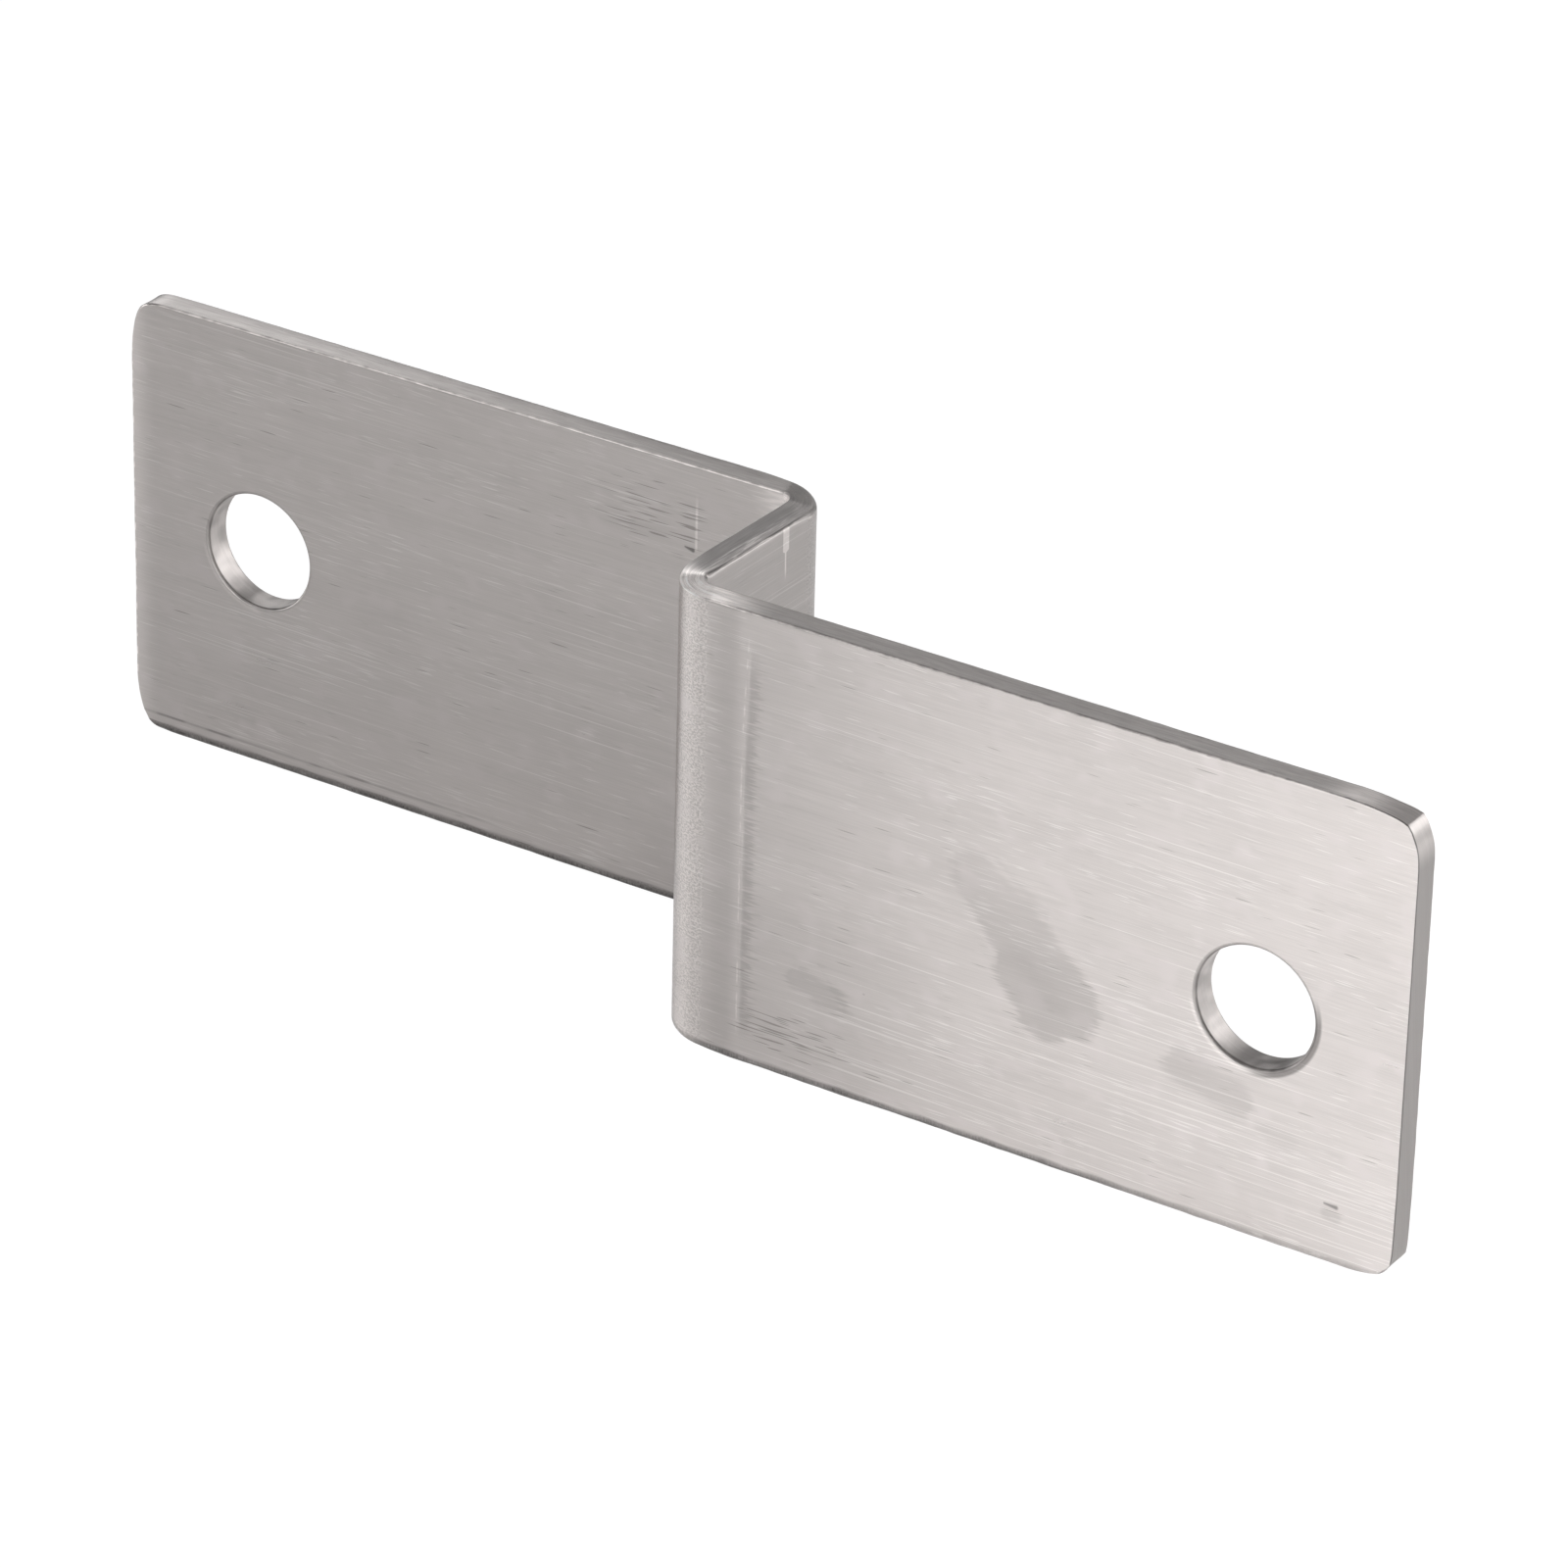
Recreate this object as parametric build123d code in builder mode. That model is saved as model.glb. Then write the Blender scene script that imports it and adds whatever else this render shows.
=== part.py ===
from build123d import *
from math import cos, radians, tan
import os

# Sheet, in millimetres: each flange is measured from the middle of the web to its end
rear_flange = 50.0
front_flange = 49.5
width = 30.0
thickness = 2.0

# Folds: the step is measured from one flange's face to the same face of the other
step = 14.4
web_lean = 2.0
inside_radius = 0.8
bend_ease = 0.8

# Corners and edges: shearing rolls one edge of each long side and leaves the other crisp.
# A corner's curve runs out this far past the long edge, which it meets at a slight angle.
corner_radius = 2.5
corner_run_out = 0.02
shear_roll = 0.4
edge_break = 0.15

# Holes, one near the end of each flange
hole_diameter = 8.0
hole_to_end = 9.75
rim_round = 0.2

length = rear_flange + front_flange
web_middle = (rear_flange - front_flange) / 2
outside_radius = inside_radius + thickness + bend_ease
near_face = (step - thickness) / 2
far_face = (step + thickness) / 2
hole_x = length / 2 - hole_to_end


def web_x(y, side):
    """Where a face of the leaning web crosses the plane at y; side is -1 for left, +1 for right."""
    lean = radians(web_lean)
    return web_middle + y * tan(lean) + side * thickness / 2 / cos(lean)


def long_edge(part, face, level):
    """A straight long edge of the sheet: face 0 is foremost, -1 rearmost; level 0 is lower, -1 upper."""
    return part.edges().filter_by(Axis.X).group_by(Axis.Y)[face].sort_by(Axis.Z)[level]


with BuildPart() as z_bracket:
    # The folded section: two flanges joined by a web that is bent a little past square
    with BuildSketch(Plane.XY):
        with BuildLine():
            left_face = FilletPolyline(
                (-length / 2, near_face),
                (web_x(near_face, -1), near_face),
                (web_x(-far_face, -1), -far_face),
                (length / 2, -far_face),
                radius=[inside_radius, outside_radius],
            )
            right_face = FilletPolyline(
                (length / 2, -near_face),
                (web_x(-near_face, 1), -near_face),
                (web_x(far_face, 1), far_face),
                (-length / 2, far_face),
                radius=[inside_radius, outside_radius],
            )
            Line(left_face @ 1, right_face @ 0)
            Line(right_face @ 1, left_face @ 0)
        make_face()
    extrude(amount=width)

    # Long edges: rolled below at the front and above at the back, crisp on the other two
    fillet(long_edge(z_bracket, 0, 0), radius=shear_roll)
    fillet(long_edge(z_bracket, -1, -1), radius=shear_roll)
    fillet(long_edge(z_bracket, 0, -1), radius=edge_break)
    fillet(long_edge(z_bracket, -1, 0), radius=edge_break)

    # Rounded corners at both ends
    with BuildSketch(Plane.XZ):
        with Locations((0, width / 2)):
            RectangleRounded(length, width + 2 * corner_run_out, corner_radius)
    extrude(amount=step + thickness, both=True, mode=Mode.INTERSECT)

    # Holes with softened rims
    with Locations(
        Plane.XZ.shift_origin((-hole_x, 0, width / 2)),
        Plane.XZ.shift_origin((hole_x, 0, width / 2)),
    ):
        Hole(radius=hole_diameter / 2)
    rims = z_bracket.edges(Select.LAST).filter_by(GeomType.CIRCLE)
    fillet(rims, radius=rim_round)

z_bracket.part.label = "z_bracket"
os.makedirs("parts", exist_ok=True)
export_step(z_bracket.part, "parts/z_bracket.step")
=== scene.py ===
"""Z bracket: one strip of brushed stainless steel, folded twice.

Sizes are in millimetres until the mesh is made. A point of the sheet is (s, z, h): s runs along the flat strip from
its rear end to its front end, z is the height, and h is the depth from the front face to the back face.
"""
import math
import bpy
import numpy as np
from mathutils import Matrix


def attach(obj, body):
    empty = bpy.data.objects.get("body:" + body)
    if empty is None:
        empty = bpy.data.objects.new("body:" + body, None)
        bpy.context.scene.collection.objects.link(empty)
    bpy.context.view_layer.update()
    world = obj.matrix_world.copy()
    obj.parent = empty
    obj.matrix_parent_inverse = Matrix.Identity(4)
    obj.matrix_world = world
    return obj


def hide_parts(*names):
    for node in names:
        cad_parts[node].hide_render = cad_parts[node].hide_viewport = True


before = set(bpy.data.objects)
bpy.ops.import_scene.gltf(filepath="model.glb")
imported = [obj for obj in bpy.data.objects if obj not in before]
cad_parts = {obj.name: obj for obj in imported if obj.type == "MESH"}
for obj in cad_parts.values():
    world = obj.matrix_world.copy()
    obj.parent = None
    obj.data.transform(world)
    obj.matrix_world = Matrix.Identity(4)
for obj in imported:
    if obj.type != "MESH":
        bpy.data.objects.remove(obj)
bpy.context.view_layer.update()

MM = 0.001

# The sheet, with the sizes of the part's source
REAR, FRONT = 50.0, 49.5            # each flange, from the web's middle to its end
WIDTH, T = 30.0, 2.0
STEP, LEAN = 14.4, math.radians(2.0)
R_IN, R_OUT = 0.8, 3.6
CORNER = 2.5
HOLE_END = 9.75                     # from each end to its hole's middle
HALF = (REAR + FRONT) / 2
WEB_MID = (REAR - FRONT) / 2
NEAR, FAR = (STEP - T) / 2, (STEP + T) / 2
TURN = math.pi / 2 + LEAN

# What the scene adds to it
HOLE_R, RIM = 3.85, 0.21            # the holes' walls and the roll of their rims
RIM_R = HOLE_R + RIM
BULGE, DRAW_IN = 0.085, 0.2         # at a bend's long edges the inside swells outward and the outside draws in
BULGE_REACH, BULGE_FADE = 3.2, 1.6  # along the strip each way, and down the face
FLOOR_GAP = 0.09                    # the floor lies this far below the strip's own edge, clear of the bulges
PATCH = 24.75                       # length of each flange's end part, which holds its hole


def smooth(x):
    x = np.clip(x, 0.0, 1.0)
    return x * x * (3 - 2 * x)


def rise(x, a, b):
    """0 at a, 1 at b, smooth between; a may be above b."""
    return smooth((x - a) / (b - a))


def span(x, a, b, c, d):
    """0 up to a, 1 from b to c, 0 again from d."""
    return rise(x, a, b) * rise(x, d, c)


def crease(distance, half_width):
    return np.exp(-(distance / half_width) ** 2)


RIPPLE_KNOTS, RIPPLE_START = 400, 50.0


def ripple(x, seed, step):
    """Smooth random values between -1 and 1 along x, one every step."""
    knots = np.random.default_rng(seed).uniform(-1, 1, RIPPLE_KNOTS)
    q = np.asarray(x, float) / step + RIPPLE_START
    i = np.floor(q).astype(int)
    w = smooth(q - i)
    return knots[i % RIPPLE_KNOTS] * (1 - w) + knots[(i + 1) % RIPPLE_KNOTS] * w


def travelled(line):
    """Length along a line at each of its points."""
    return np.concatenate([[0], np.cumsum(np.linalg.norm(np.diff(line, axis=0), axis=1))])


# The folded section, seen from above
BEND_POINTS = 160


def web_x(y, side):
    """Where a face of the leaning web crosses the plane at y; side is -1 for left, +1 for right."""
    return WEB_MID + y * math.tan(LEAN) + side * T / 2 / math.cos(LEAN)


def bend_arc(p0, p1, p2, r):
    """The arc that rounds the corner at p1."""
    u = (p1 - p0) / np.linalg.norm(p1 - p0)
    v = (p2 - p1) / np.linalg.norm(p2 - p1)
    inward = np.array([-u[1], u[0]]) * math.copysign(1, u[0] * v[1] - u[1] * v[0])
    a = np.linspace(0, TURN, BEND_POINTS)[:, None]
    start = p1 - u * r * math.tan(TURN / 2)
    return start + inward * r * (1 - np.cos(a)) + u * r * np.sin(a)


def side_path(y_rear, y_front, side, r_back, r_front):
    """One face of the sheet: its stretches from the rear end to the front end, with breaks at the patch limits."""
    p = [np.array(q) for q in (
        (-HALF, y_rear), (web_x(y_rear, side), y_rear), (web_x(y_front, side), y_front), (HALF, y_front))]
    back = bend_arc(p[0], p[1], p[2], r_back)
    front = bend_arc(p[1], p[2], p[3], r_front)
    return [
        np.array([p[0], [-HALF + PATCH, y_rear]]),
        np.array([[-HALF + PATCH, y_rear], back[0]]),
        back,
        np.array([back[-1], front[0]]),
        front,
        np.array([front[-1], [HALF - PATCH, y_front]]),
        np.array([[HALF - PATCH, y_front], p[3]]),
    ]


# Both faces share one length along the strip, which is the mean of their own
PATHS = [side_path(NEAR, -FAR, -1, R_IN, R_OUT), side_path(FAR, -NEAR, 1, R_OUT, R_IN)]
LENGTHS = [(travelled(a)[-1] + travelled(b)[-1]) / 2 for a, b in zip(*PATHS)]
KNOTS = np.concatenate([[0.0], np.cumsum(LENGTHS)])
_, BACK_FROM, BACK_TO, FRONT_FROM, FRONT_TO, _, TOTAL = (float(k) for k in KNOTS[1:])    # both bends' limits
BACK_MID, FRONT_MID = (BACK_FROM + BACK_TO) / 2, (FRONT_FROM + FRONT_TO) / 2


def table(path):
    """Length along the strip against the place seen from above, for one face."""
    s, xy = [], []
    for k, q in enumerate(path):
        d = travelled(q)
        s.append(KNOTS[k] + d / d[-1] * LENGTHS[k])
        xy.append(q)
    return np.concatenate(s), np.concatenate(xy)


TABLES = [table(p) for p in PATHS]


def plan(side, s):
    ts, xy = TABLES[side]
    return np.column_stack([np.interp(s, ts, xy[:, 0]), np.interp(s, ts, xy[:, 1])])


def strip_s(x):
    """Length along the strip of a place on a flange's front face, given by its x."""
    ts, xy = TABLES[0]
    part = ts >= FRONT_TO if x > 0 else ts <= BACK_FROM
    return float(np.interp(x, xy[part, 0], ts[part]))


def bulge(s, z, h):
    """How far a point near a long edge moves at the bends: the inside of a bend swells, its outside draws in."""
    def swell(inner):
        return BULGE * np.maximum(inner, 0) + DRAW_IN * np.minimum(inner, 0)

    def by(distance, reach):
        return np.exp(-np.maximum(distance, 0) / reach)

    inner = 1 - 2 * h / T           # the front face is inside the back bend and outside the front bend
    amount = smooth(1 - np.abs(s - BACK_MID) / BULGE_REACH) * swell(inner)
    amount = amount + smooth(1 - np.abs(s - FRONT_MID) / BULGE_REACH) * swell(-inner)
    return amount * (by(WIDTH - z, BULGE_FADE) - by(z, BULGE_FADE))


# Marks pressed into the sheet, by their place along the strip
FRONT_MARK = strip_s(5.32)
REAR_MARK = strip_s(-7.42)
WEB_MARK = BACK_TO + 0.21 * LENGTHS[3]
BACK_MARK = BACK_FROM - 3.4         # the front mark's like, on the back of the rear flange
GROOVE = 1.24                       # height of the line where the rear flange's worn lower edge begins
WORN_END = strip_s(-17.0)           # the worn edge fades out before this place
EASE, EASE_FROM = 0.09, FRONT_MARK - 0.3    # from here the flange runs into the front bend, this much early
MARK_LEAN, LEAN_FROM, LEAN_TO, LEAN_POWER = 0.5, 17.0, 33.0, 1.5    # the front mark leans towards its top


def pressed(s, z, side):
    """Depth of the press marks and of the worn lower edge below the front face, 0, or the back face, 1."""
    if side == 1:
        web = 0.03 * span(z, 26.6, 28.2, 29.7, 30.5) * crease(s - WEB_MARK, 0.13)
        return web + 0.02 * span(z, 1.0, 2.5, 27.5, 29.0) * crease(s - BACK_MARK, 0.16)
    wander = 0.05 * ripple(z, 3, 3.0) + 0.03 * ripple(z, 5, 0.9)
    past = s - FRONT_MARK - wander - MARK_LEAN * rise(z, LEAN_FROM, LEAN_TO) ** LEAN_POWER
    strength = span(z, 1.6, 2.8, 27.1, 28.6) * (0.72 + 0.28 * ripple(z, 4, 1.3))
    d = strength * (0.004 * crease(past, 0.09) + 0.016 * span(past, 0.1, 0.35, 0.5, 1.2))
    d += EASE * np.clip((EASE_FROM - s) / (EASE_FROM - FRONT_TO), 0, 1) ** 1.4 * rise(s, FRONT_FROM, FRONT_TO)
    d += 0.010 * span(z, 23.6, 24.4, 26.8, 28.6) * crease(s - REAR_MARK, 0.08)
    d += rise(s, WORN_END, WORN_END - 14.0) * (
        0.014 * crease(z - GROOVE, 0.07) + 0.05 * rise(z, GROOVE, GROOVE - 1.2))
    d += 0.03 * np.clip(1 - s / 1.9, 0, 1) ** 2
    return d


# Rows and columns of the faces' grid
INSETS = np.array([0, 0.05, 0.13, 0.24, 0.38, 0.55, 0.7, 0.78, 0.85, 0.92, 1.0, 1.15, 1.4, 1.75])
BAND = len(INSETS) - 1              # rows beside each edge, which follow it at these insets
ROWS = 2 * BAND + 50
SAMPLE = 0.01
PLAIN_GAP, WEB_GAP, BEND_GAP, MARK_GAP = 0.5, 0.4, 0.15, 0.065


def columns():
    """Places of the grid's columns, closer at the bends and at the press marks."""
    q = np.arange(KNOTS[1], KNOTS[6], SAMPLE)
    gap = np.full_like(q, PLAIN_GAP)
    for a, b, wanted in (
            (BACK_FROM, BACK_TO, BEND_GAP), (FRONT_FROM, FRONT_TO, BEND_GAP), (BACK_TO, FRONT_FROM, WEB_GAP)):
        gap[(q >= a - 0.2) & (q <= b + 0.2)] = wanted
    for middle, reach in ((FRONT_MARK + 0.25, 0.75), (REAR_MARK, 0.4), (WEB_MARK, 0.4), (BACK_MARK, 0.45)):
        gap = np.minimum(gap, np.where(np.abs(q - middle) < reach, MARK_GAP, PLAIN_GAP))
    places = []
    for a, b in zip(KNOTS[1:6], KNOTS[2:7]):
        weight = SAMPLE / gap[(q >= a) & (q < b)]
        n = max(2, int(round(weight.sum())))
        c = np.concatenate([[0], np.cumsum(weight)])
        s = a + np.linspace(0, 1, len(c)) * (b - a)
        places.append(np.interp(np.linspace(0, c[-1], n + 1)[:-1], c, s))
    return np.concatenate(places + [[KNOTS[6]]])


COLS = columns()
NC = len(COLS)

# The four corners of the strip, each as seen from its own end: distance from the end and from the long edge.
# The punch left them longer along the end than along the strip, and two of them with a crease.
CORNER_LINES = {
    "rear_low": [
        (3.1, 0), (2.0, 0.05), (1.32, 0.17), (0.86, 0.51), (0.57, 1.00), (0.40, 1.40), (0.25, 1.95), (0.11, 2.6),
        (0, 3.6)],
    "rear_high": [
        (2.7, 0), (1.99, 0.05), (1.38, 0.18), (0.95, 0.39), (0.66, 0.69), (0.43, 1.18), (0.25, 1.82), (0.09, 2.8),
        (0, 4.0)],
    "front_low": [
        (3.1, 0), (1.98, 0.08), (1.15, 0.32), (0.80, 0.51), (0.50, 0.80), (0.14, 1.30), (0.06, 2.1), (0.02, 3.9),
        (0, 5.6)],
    "front_high": [
        (4.6, 0), (3.15, 0.09), (1.91, 0.26), (1.29, 0.40), (0.84, 0.57), (0.62, 0.85), (0.42, 1.25), (0.20, 1.80),
        (0.05, 2.5), (0, 3.5)],
}
CREASES = {"front_low": 5, "front_high": 4}     # which point of the line is the crease
CREASE_HALF = 0.015
FAR_RUN = 6.2                       # a corner is worked out over this much of both edges
STRAIGHT_STATIONS, ARC_STATIONS, END_STATIONS = 46, 18, 52
SPLINE_STEPS = 24


def spline(points):
    """A smooth line through the points."""
    p = np.vstack([2 * points[0] - points[1], points, 2 * points[-1] - points[-2]])
    t = np.linspace(0, 1, SPLINE_STEPS, endpoint=False)[:, None]
    out = []
    for a, b, c, d in zip(p[:-3], p[1:-2], p[2:-1], p[3:]):
        bend = (2 * a - 5 * b + 4 * c - d) * t ** 2 + (3 * b - a - 3 * c + d) * t ** 3
        out.append(0.5 * (2 * b + (c - a) * t + bend))
    return np.vstack(out + [points[-1:]])


def by_length(line):
    """Length along a line at each of its points, from 0 to 1."""
    d = travelled(line)
    return d / d[-1]


def corner_line(name, guide):
    """Moves the stations of the plain rounded corner on to the corner that this one really has."""
    points = [(FAR_RUN, 0), (FAR_RUN * 0.8, 0)] + CORNER_LINES[name] + [(0, FAR_RUN * 0.96), (0, FAR_RUN)]
    points = np.array(points, float)
    w = by_length(guide)
    if name in CREASES:
        middle = CREASES[name] + 2
        first, second = spline(points[:middle + 1]), spline(points[middle:])
        line = np.vstack([first, second[1:]])
        at = by_length(line)[len(first) - 1]
        k = int(np.argmin(np.abs(w - at)))
        w = np.interp(w, [0, w[k], 1], [0, at, 1])
        w[k - 1], w[k + 1] = at - CREASE_HALF, at + CREASE_HALF
    else:
        line = spline(points)
    q = by_length(line)
    moved = np.column_stack([np.interp(w, q, line[:, 0]), np.interp(w, q, line[:, 1])])
    along = np.gradient(moved, axis=0)
    along /= np.linalg.norm(along, axis=1, keepdims=True)
    return moved, np.column_stack([-along[:, 1], along[:, 0]])


def end_outline(end):
    """The outline of one end: from a patch limit along the lower edge, round the end, back along the upper edge.
    Gives the distance from the end with the height, and the outward direction, plainly rounded and then real."""
    straight = np.linspace(PATCH, CORNER, STRAIGHT_STATIONS)[1:]
    turns = np.linspace(0, math.pi / 2, ARC_STATIONS + 1)[1:]
    ups = np.linspace(CORNER, WIDTH - CORNER, END_STATIONS)[1:]
    stations = [((d, 0.0), (0.0, -1.0)) for d in straight]
    stations += [((CORNER * (1 - math.sin(a)), CORNER * (1 - math.cos(a))), (-math.sin(a), -math.cos(a)))
                 for a in turns]
    stations += [((0.0, z), (-1.0, 0.0)) for z in ups]
    stations += [((CORNER * (1 - math.cos(a)), WIDTH - CORNER * (1 - math.sin(a))), (-math.cos(a), math.sin(a)))
                 for a in turns]
    stations += [((d, WIDTH), (0.0, 1.0)) for d in straight[::-1][1:]]
    p, n = (np.array(q) for q in zip(*stations))
    real, real_n = p.copy(), n.copy()
    i = np.flatnonzero((p[:, 0] < FAR_RUN) & (p[:, 1] < FAR_RUN))
    real[i], real_n[i] = corner_line(end + "_low", p[i])
    i = np.flatnonzero((p[:, 0] < FAR_RUN) & (p[:, 1] > WIDTH - FAR_RUN))[::-1]
    top, top_n = corner_line(end + "_high", p[i] * [1, -1] + [0, WIDTH])
    real[i], real_n[i] = top * [1, -1] + [0, WIDTH], top_n * [1, -1]
    return p, n, real, real_n


FRONT_END, REAR_END = end_outline("front"), end_outline("rear")
NE = len(FRONT_END[0])
LOWER, UPPER = (np.column_stack([COLS, np.full(NC, z)]) for z in (0.0, WIDTH))
DOWN, UP = (np.tile([0.0, z], (NC, 1)) for z in (-1.0, 1.0))


def whole_loop(k):
    """The outline and its outward directions: lower edge from rear to front, front end, upper edge back, rear end."""
    p = np.vstack([LOWER, FRONT_END[k] * [-1, 1] + [TOTAL, 0], UPPER[::-1], REAR_END[k][::-1]])
    n = np.vstack([DOWN, FRONT_END[k + 1] * [-1, 1], UP, REAR_END[k + 1][::-1]])
    return p, n


# GUIDE is the plainly rounded outline that the inner rows follow, and LOOP is the real one
GUIDE, GUIDE_N = whole_loop(0)
LOOP, LOOP_N = whole_loop(2)
NL = len(LOOP)
LOOP_RUN = travelled(LOOP)


def edge_radii(side):
    """Radius of the edge round the outline: each cut of the shear rolls it on one face and leaves the other crisp."""
    lower, upper = (GUIDE_N[:, 1] < -0.5), (GUIDE_N[:, 1] > 0.5)
    rear, front = (GUIDE_N[:, 0] < -0.5), (GUIDE_N[:, 0] > 0.5)
    s = GUIDE[:, 0]
    r = np.full(NL, 0.13)
    if side == 0:
        r[lower] = 0.4 + 0.15 * smooth((s[lower] - FRONT_FROM) / 3.0)
        r[upper] = 0.10
        r = np.where(upper & (s > TOTAL - 9.0), 0.05, r)
        r[rear] = 0.11
        r[front] = 0.04
    else:
        r[lower] = 0.14
        r[upper] = 0.4
        r = np.where(upper, r - 0.22 * span(s, BACK_TO - 1.0, BACK_TO + 1.0, FRONT_FROM - 1.0, FRONT_FROM + 1.0), r)
        r[rear] = 0.11
        r[front] = 0.12
    blur = np.ones(9) / 9
    r = np.convolve(np.concatenate([r[-8:], r, r[:8]]), blur, "same")[8:-8]
    uneven = np.where(r > 0.2, 0.4, 1.0)
    waves = 0.14 * ripple(LOOP_RUN, 11 + side, 5.0) + 0.16 * ripple(LOOP_RUN, 21 + side, 0.9)
    return r * (1 + uneven * waves)


RADII = [edge_radii(0), edge_radii(1)]

# Vertices and faces
FRONT_FACE, BACK_FACE, CUT_EDGE, HOLE_WALL = range(4)
verts, faces, maps = [], [], []     # verts hold blocks of (s, z, h, kind)
count = 0


def add(s, z, h, kind):
    """Adds a row of vertices and gives their numbers."""
    global count
    s, z, h = (np.broadcast_to(np.asarray(q, float), np.shape(s)) for q in (s, z, h))
    verts.append(np.column_stack([s, z, h, np.full(len(s), float(kind))]))
    ids = np.arange(count, count + len(s))
    count += len(s)
    return ids


def quads(a, b, flip=False, closed=False, along=None, depth=None, through=False):
    """Quads between two rows of vertices. On a cut surface, along and depth place them on its own map."""
    if closed:
        a, b = np.append(a, a[0]), np.append(b, b[0])
    q = np.column_stack([a[:-1], a[1:], b[1:], b[:-1]])
    uv = np.full((len(q), 4, 2), np.nan)
    if along is not None:
        u = np.column_stack([along[:-1], along[1:], along[1:], along[:-1]])
        v = np.tile([depth[0], depth[0], depth[1], depth[1]], (len(q), 1))
        uv = np.dstack([v, u] if through else [u, v])
    faces.append(q[:, ::-1] if flip else q)
    maps.append(uv[:, ::-1] if flip else uv)


HOLE_RINGS, RING_CROWDING = 19, 1.35


def build_face(side):
    """One whole face of the sheet with its two holes. Gives the outline's and both hole rims' vertices."""
    h = (0.0, T)[side]
    flip = side == 1
    r = RADII[side]
    i_low = np.arange(0, NC)
    i_front = np.arange(NC, NC + NE)
    i_high = np.arange(NC + NE, NC + NE + NC)[::-1]
    i_rear = np.arange(NC + NE + NC, NL)
    bound = np.full(NL, -1)

    # middle part: rows from the lower boundary to the upper one
    grid = np.zeros((ROWS + 1, NC), int)
    z_lo, z_hi = r[i_low], WIDTH - r[i_high]
    for j in range(ROWS + 1):
        if j <= BAND:
            z = z_lo + INSETS[j]
        elif j >= ROWS - BAND:
            z = z_hi - INSETS[ROWS - j]
        else:
            w = (j - BAND) / (ROWS - 2 * BAND)
            z = (z_lo + INSETS[-1]) * (1 - w) + (z_hi - INSETS[-1]) * w
        grid[j] = add(COLS, z, h, side)
    for j in range(ROWS):
        quads(grid[j], grid[j + 1], flip)
    bound[i_low], bound[i_high] = grid[0], grid[ROWS]

    # end parts: a band that follows the outline, then rings that close in on the hole
    rims = []
    for front in (True, False):
        idx = i_front if front else i_rear[::-1]
        column = grid[:, NC - 1 if front else 0]
        turned = flip if front else not flip
        edge = LOOP[idx] - LOOP_N[idx] * r[idx][:, None]
        last = GUIDE[idx] - GUIDE_N[idx] * (r[idx] + INSETS[-1])[:, None]
        rows = []
        for w in INSETS / INSETS[-1]:
            q = edge * (1 - w) + last * w
            rows.append(add(q[:, 0], q[:, 1], h, side))
        bound[idx] = rows[0]
        for j in range(BAND):
            a = np.concatenate([[column[j]], rows[j], [column[ROWS - j]]])
            b = np.concatenate([[column[j + 1]], rows[j + 1], [column[ROWS - j - 1]]])
            quads(a, b, turned)
        ring = np.concatenate([rows[BAND], column[BAND:ROWS - BAND + 1][::-1]])
        block = np.vstack(verts)[ring][:, :2]
        centre = np.array([TOTAL - HOLE_END if front else HOLE_END, WIDTH / 2])
        ang = np.arctan2(block[:, 1] - centre[1], block[:, 0] - centre[0])
        circle = centre + RIM_R * np.column_stack([np.cos(ang), np.sin(ang)])
        for k in range(1, HOLE_RINGS + 1):
            w = 1 - (1 - k / HOLE_RINGS) ** RING_CROWDING
            q = block * (1 - w) + circle * w
            inner = add(q[:, 0], q[:, 1], h, side)
            quads(ring, inner, turned, closed=True)
            ring = inner
        rims.append((ring, ang, centre, turned))
    return bound, rims


bound_a, rims_a = build_face(0)
bound_b, rims_b = build_face(1)

# The strip's edge: roll on the front face, slightly hollow shear, roll on the back face
ARC = 5                             # steps of each roll
ROLL_BAND, SHEAR_BAND = 0.1, 0.5    # what one step takes on the map of the cut surfaces
HOLLOW = 0.02


def edge_point(r, k):
    """Step k of ARC from a face round its edge: a wide edge is a round roll, a crisp one a small facet."""
    a = math.pi / 2 * k / ARC
    facet = smooth((0.2 - r) / 0.05)
    inward = (1 - math.sin(a)) * (1 - facet) + (1 - k / ARC) * facet
    depth = (1 - math.cos(a)) * (1 - facet) + k / ARC * facet
    return r * inward, r * depth


ra, rb = RADII
edge_rows = []                      # how far inward, the depth, and the band on the map
for k in range(1, ARC + 1):
    inward, depth = edge_point(ra, k)
    edge_rows.append((inward, depth, ROLL_BAND))
for w in (0.33, 0.67, 1.0):
    edge_rows.append((np.full(NL, HOLLOW * math.sin(math.pi * w)), ra * (1 - w) + (T - rb) * w, SHEAR_BAND))
for k in range(ARC - 1, 0, -1):
    inward, depth = edge_point(rb, k)
    edge_rows.append((inward, T - depth, ROLL_BAND))

round_edge = np.append(LOOP_RUN, LOOP_RUN[-1] + np.linalg.norm(LOOP[0] - LOOP[-1]))
prev, level = bound_a, 0.0
for inward, depth, size in edge_rows:
    q = LOOP - LOOP_N * inward[:, None]
    row = add(q[:, 0], q[:, 1], depth, CUT_EDGE)
    quads(row, prev, closed=True, along=round_edge, depth=(level + size, level))
    prev, level = row, level + size
quads(bound_b, prev, closed=True, along=round_edge, depth=(level + ROLL_BAND, level))

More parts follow.
